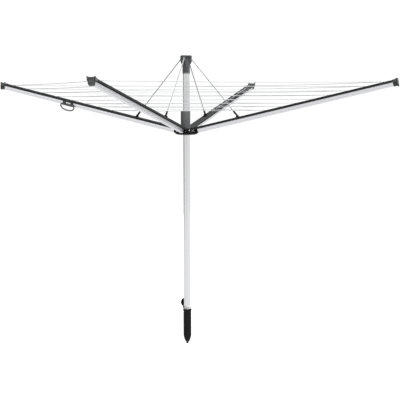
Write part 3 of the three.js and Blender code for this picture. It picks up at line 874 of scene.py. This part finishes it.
def end_cap():
    """A shield-shaped plate with two horns, and a skirt round the arm's end."""
    shield = [(0, -22), (8, -20.5), (13, -16), (16, -10), (20.5, 5), (23, 14), (24.6, 24), (30.4, 30.6),
              (31.4, 34), (29.4, 38), (24, 37.4), (18, 32.5), (0, 32.5)]
    outline = shield + [(-y, z) for y, z in reversed(shield[1:-1])]
    plate = bevelled(prism_x(filleted(outline, 2.5, 3), ARM_END - 9, ARM_END), 1.2, 3)
    inset = [(0, -15), (7, -14), (10.5, -9), (15, 4), (17.5, 14), (18, 23), (15, 26.5), (0, 26.5)]
    panel = inset + [(-y, z) for y, z in reversed(inset[1:-1])]
    recess = prism_x(filleted(panel, 2.5, 3), ARM_END - 1.4, ARM_END + 5)
    boss = bar((ARM_END - 4, 0, 3), (ARM_END - 0.3, 0, 3), [(0, 6.5), (0.8, 6.5), (1, 5.7)], 32)
    socket = bar((ARM_END - 2.6, 0, 3), (ARM_END + 3, 0, 3), [(0, 2.6), (1, 2.6)], 6)
    skirt = [(14.4, -16), (17, 12.2), (30, 12.2), (30, 16), (28, 32), (-28, 32), (-30, 16), (-30, 12.2),
             (-17, 12.2), (-14.4, -16)]
    radii = [5.5, 1, 1, 1, 2, 2, 1, 1, 1, 5.5]
    collar = bevelled(prism_x(filleted(skirt, radii, 4), ARM_END - 9 - CAP_SKIRT, ARM_END - 6), 0.7)
    return cut(union(cut(plate, recess), boss, collar), socket)


def guide_foot():
    base = ARM_TOP + GAP
    at, height = GUIDE_PIVOT
    ear = [(at - 11, base), (at + 11, base), (at + 4.9, height + 1.4), (at + 3.6, height + 3.8),
           (at, height + 5), (at - 3.6, height + 3.8), (at - 4.9, height + 1.4)]
    plate = bevelled(box((at - 16, -13, base), (at + 16, 13, base + 1.5)), 0.5)
    ears = [bevelled(prism_y(ear, start, start + 3.6), 0.5) for start in (9.4, -13)]
    head = [(0, 2.6), (0.5, 2.6), (0.85, 2.1), (1, 1.4)]
    screws = [bar((at + x, 0, base + 1), (at + x, 0, base + 2.6), head, 20)
              for x in (-12.6, 12.6)]
    return union(plate, *ears, *screws)


def trunk_cord():
    """The line's run that lies in the rail's groove."""
    start = along_arm(STATIONS[0], LINE_HEIGHT) - 60
    end = along_arm(STATIONS[-1], LINE_HEIGHT) + 2
    height = LINE_HEIGHT - 2.2
    return tube([(start, 0, height), ((start + end) / 2, 0, height), (end, 0, height)], LINE_RADIUS, 10)


def half_lines(azimuth, side):
    """One arm's halves of the lines that cross the sector on one side, in the row's frame, mm."""
    sag = 5.0
    shapes = []
    longest = STATIONS[-1] / math.sqrt(2)
    for radius in STATIONS:
        height = (ARM_LINE_HEIGHT + radius * math.tan(ARM_RISE)
                  - (ARM_TOP - LINE_HEIGHT) / math.cos(ARM_RISE))
        length = radius / math.sqrt(2)
        points = []
        for step in range(9):
            t = step / 8
            drop = sag * (length / longest) ** 2 * (1 - (1 - t) ** 2)
            run = length * t / math.sqrt(2)
            points.append((radius - run, side * run, height - drop))
        shapes.append(tube(points, LINE_RADIUS, 8))
    return turned_z(combined(*shapes), math.degrees(azimuth))


for name in ARMS:
    pivot = Vector(joints[f"{name}_arm_fold"]["pos_m"])
    azimuth = math.atan2(pivot.y, pivot.x)
    spin = Matrix.Rotation(azimuth, 4, "Z")
    place = Matrix.Translation(pivot) @ spin @ Matrix.Rotation(-ARM_RISE, 4, "Y")
    arm = f"{name}_arm"
    add(f"{name}_profile", arm_profile(), aluminium_arm, arm, place,
        replaces=[f"{name}_arm_tube"])
    add(f"{name}_rail", line_rail(), rail_plastic, arm, place,
        replaces=[f"{name}_line_rail"])
    add(f"{name}_knuckle", arm_root(), black_plastic, arm, place,
        replaces=[f"{name}_arm_root"])
    add(f"{name}_tip", end_cap(), grey_plastic, arm, place,
        replaces=[f"{name}_end_cap"])
    add(f"{name}_foot", guide_foot(), black_plastic, arm, place,
        replaces=[f"{name}_guide_foot"])
    add(f"{name}_trunk_cord", trunk_cord(), line_white, arm, place,
        replaces=[f"{name}_clotheslines"])
    anchor = Matrix.Rotation(azimuth, 3, "Z") @ Vector((
        STATIONS[0], 0, ARM_LINE_HEIGHT + STATIONS[0] * math.tan(ARM_RISE))) * MM
    for side, label in ((1, "a"), (-1, "b")):
        lines = add(f"{name}_lines_{label}", half_lines(azimuth, side), line_white, arm)
        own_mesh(lines)
    hinge_pin = pin((0, -19.5, 0), (0, 19.5, 0), 3, 0.8)
    add(f"{name}_arm_pin", hinge_pin, steel, "hub", place, replaces=[f"{name}_hinge_pin"])

# ------------------------------------------------------------------ stays and their guides


def twisted_rope(start, end):
    """A three-strand rope down the Z axis."""
    pitch, steps_per_turn = 22, 12
    count = round((start - end) / pitch * steps_per_turn)
    strands = []
    for strand in range(3):
        points = []
        for step in range(count + 1):
            height = start + (end - start) * step / count
            turn = 2 * math.pi * ((start - height) / pitch + strand / 3)
            points.append((1.75 * math.cos(turn), 1.75 * math.sin(turn), height))
        strands.append(tube(points, 2.05, 8))
    return combined(*strands)


def stay_rope(length):
    turns = [math.pi * k / 6 for k in range(12)]
    ring = lathe([(5.2 + 2.6 * math.cos(turn), 2.6 * math.sin(turn)) for turn in turns], 32)
    eye = moved(ring, Matrix.Rotation(math.pi / 2, 4, "X"))
    ferrule = lathe([(0, -18), (3.9, -18), (4.3, -17.4), (4.3, -8), (3.9, -7.2), (0, -7.2)], SMALL_ROUND)
    return combined(eye, ferrule, twisted_rope(-17, -length + 8.4))


def rope_guide():
    """A tube along the stay, with a knuckle and trunnions at its lower end."""
    bore = STAY_ROPE_RADIUS + 0.35
    body = lathe([
        (bore, 8), (7.0, 8), (7.4, 8.5), (7.4, 13), (7.0, 14), (6.9, 24), (7.3, 24.8), (7.3, 27),
        (6.8, 27.8),
        (6.6, 38), (7.2, 39.4), (7.6, 40.4), (7.6, 43), (7.1, 44), (bore + 0.4, 44), (bore, 43.4),
    ], 32)
    knuckle = bevelled(box((-4.8, -9, -5), (4.8, 9, 10)), 1.0)
    trunnion = pin((0, -12.8, 0), (0, 12.8, 0), 2, 0.4)
    hollow = pin((0, 0, 6.5), (0, 0, 14), bore, 0.1, 32)
    return cut(union(knuckle, body, trunnion), hollow)


for name in ARMS:
    anchor = Vector(joints[f"{name}_stay_swing"]["pos_m"])
    foot = Vector(joints[f"{name}_guide_swing"]["pos_m"])
    azimuth = math.atan2(anchor.y, anchor.x)
    spin = Matrix.Rotation(azimuth, 4, "Z")
    drop = foot - anchor
    tilt = math.atan2(Vector((drop.x, drop.y)).length, -drop.z)
    lean = spin @ Matrix.Rotation(-tilt, 4, "Y")
    add(f"{name}_rope", stay_rope(drop.length / MM), rope_white, f"{name}_stay",
        Matrix.Translation(anchor) @ lean, replaces=[f"{name}_stay_rope"])
    add(f"{name}_guide_tube", rope_guide(), black_plastic, f"{name}_guide",
        Matrix.Translation(foot) @ lean, replaces=[f"{name}_rope_guide"])
    radius, height = STAY_ANCHOR
    add(f"{name}_anchor_pin", pin((radius, -9.2, height), (radius, 9.2, height), 1.9, 0.4), steel, "mast",
        spin, replaces=[f"{name}_stay_pin"])

# ------------------------------------------------------------------ pull handle

HANDLE_START, HANDLE_END = 864, 967
HANDLE_SIDE, HANDLE_HEIGHT, HANDLE_DROP = 23.5, -8, 40
HANDLE_BAR = 4.8


def handle_saddle():
    start, end = HANDLE_START + 7, HANDLE_END - 7
    inner, outer, top, bottom = 15.3, 18, ARM_HALF_HEIGHT - 2, -ARM_HALF_HEIGHT - GAP
    clip = [(-outer, top), (-outer, bottom - 3), (outer, bottom - 3), (outer, top), (inner, top),
            (inner, bottom), (-inner, bottom), (-inner, top)]
    body = bevelled(prism_x(clip, start, end), 0.6)
    side, height = HANDLE_SIDE, HANDLE_HEIGHT
    knuckles = []
    for low in (start, end - 16):
        high = low + 16
        barrel = pin((low, side, height), (high, side, height), 7.5, 1, 32)
        foot = bevelled(box((low, outer - 1, height - 4), (high, side, height + 4)), 0.5)
        knuckles.append(union(barrel, foot))
    window = bevelled(box((start + 23, -30, -3.2), (end - 24, 30, 10)), 1.5)
    hole = pin((HANDLE_START - 5, side, height), (HANDLE_END + 5, side, height), HANDLE_BAR + GAP, 0.1, 32)
    return cut(union(cut(body, window), *knuckles), hole)


def pull_handle():
    """A straight bar along the arm and a D-shaped bow below it."""
    start, end, side, height = HANDLE_START, HANDLE_END, HANDLE_SIDE, HANDLE_HEIGHT
    bottom = height - HANDLE_DROP
    straight = pin((start - 1, side, height), (end + 1, side, height), HANDLE_BAR, 1.5, 24)
    bow = spline([
        (start, side, height), (start - 6, side, height - 6), (start - 9, side, height - 14),
        (start - 5, side, height - 27), (start + 9, side, bottom + 4), (start + 32, side, bottom),
        (end - 44, side, bottom), (end - 16, side, bottom + 8), (end, side, height - 18),
        (end + 1.5, side, height - 8), (end, side, height),
    ], 8)
    return union(straight, tube(bow, HANDLE_BAR, 20))


left_pivot = Vector(joints["left_arm_fold"]["pos_m"])
left_place = (Matrix.Translation(left_pivot) @ Matrix.Rotation(math.pi, 4, "Z")
              @ Matrix.Rotation(-ARM_RISE, 4, "Y"))
add("handle_clip", handle_saddle(), grey_plastic, "left_arm", left_place,
    replaces=["handle_saddle"])
add("handle_bow", pull_handle(), grey_plastic, "handle", left_place,
    replaces=["pull_handle"])
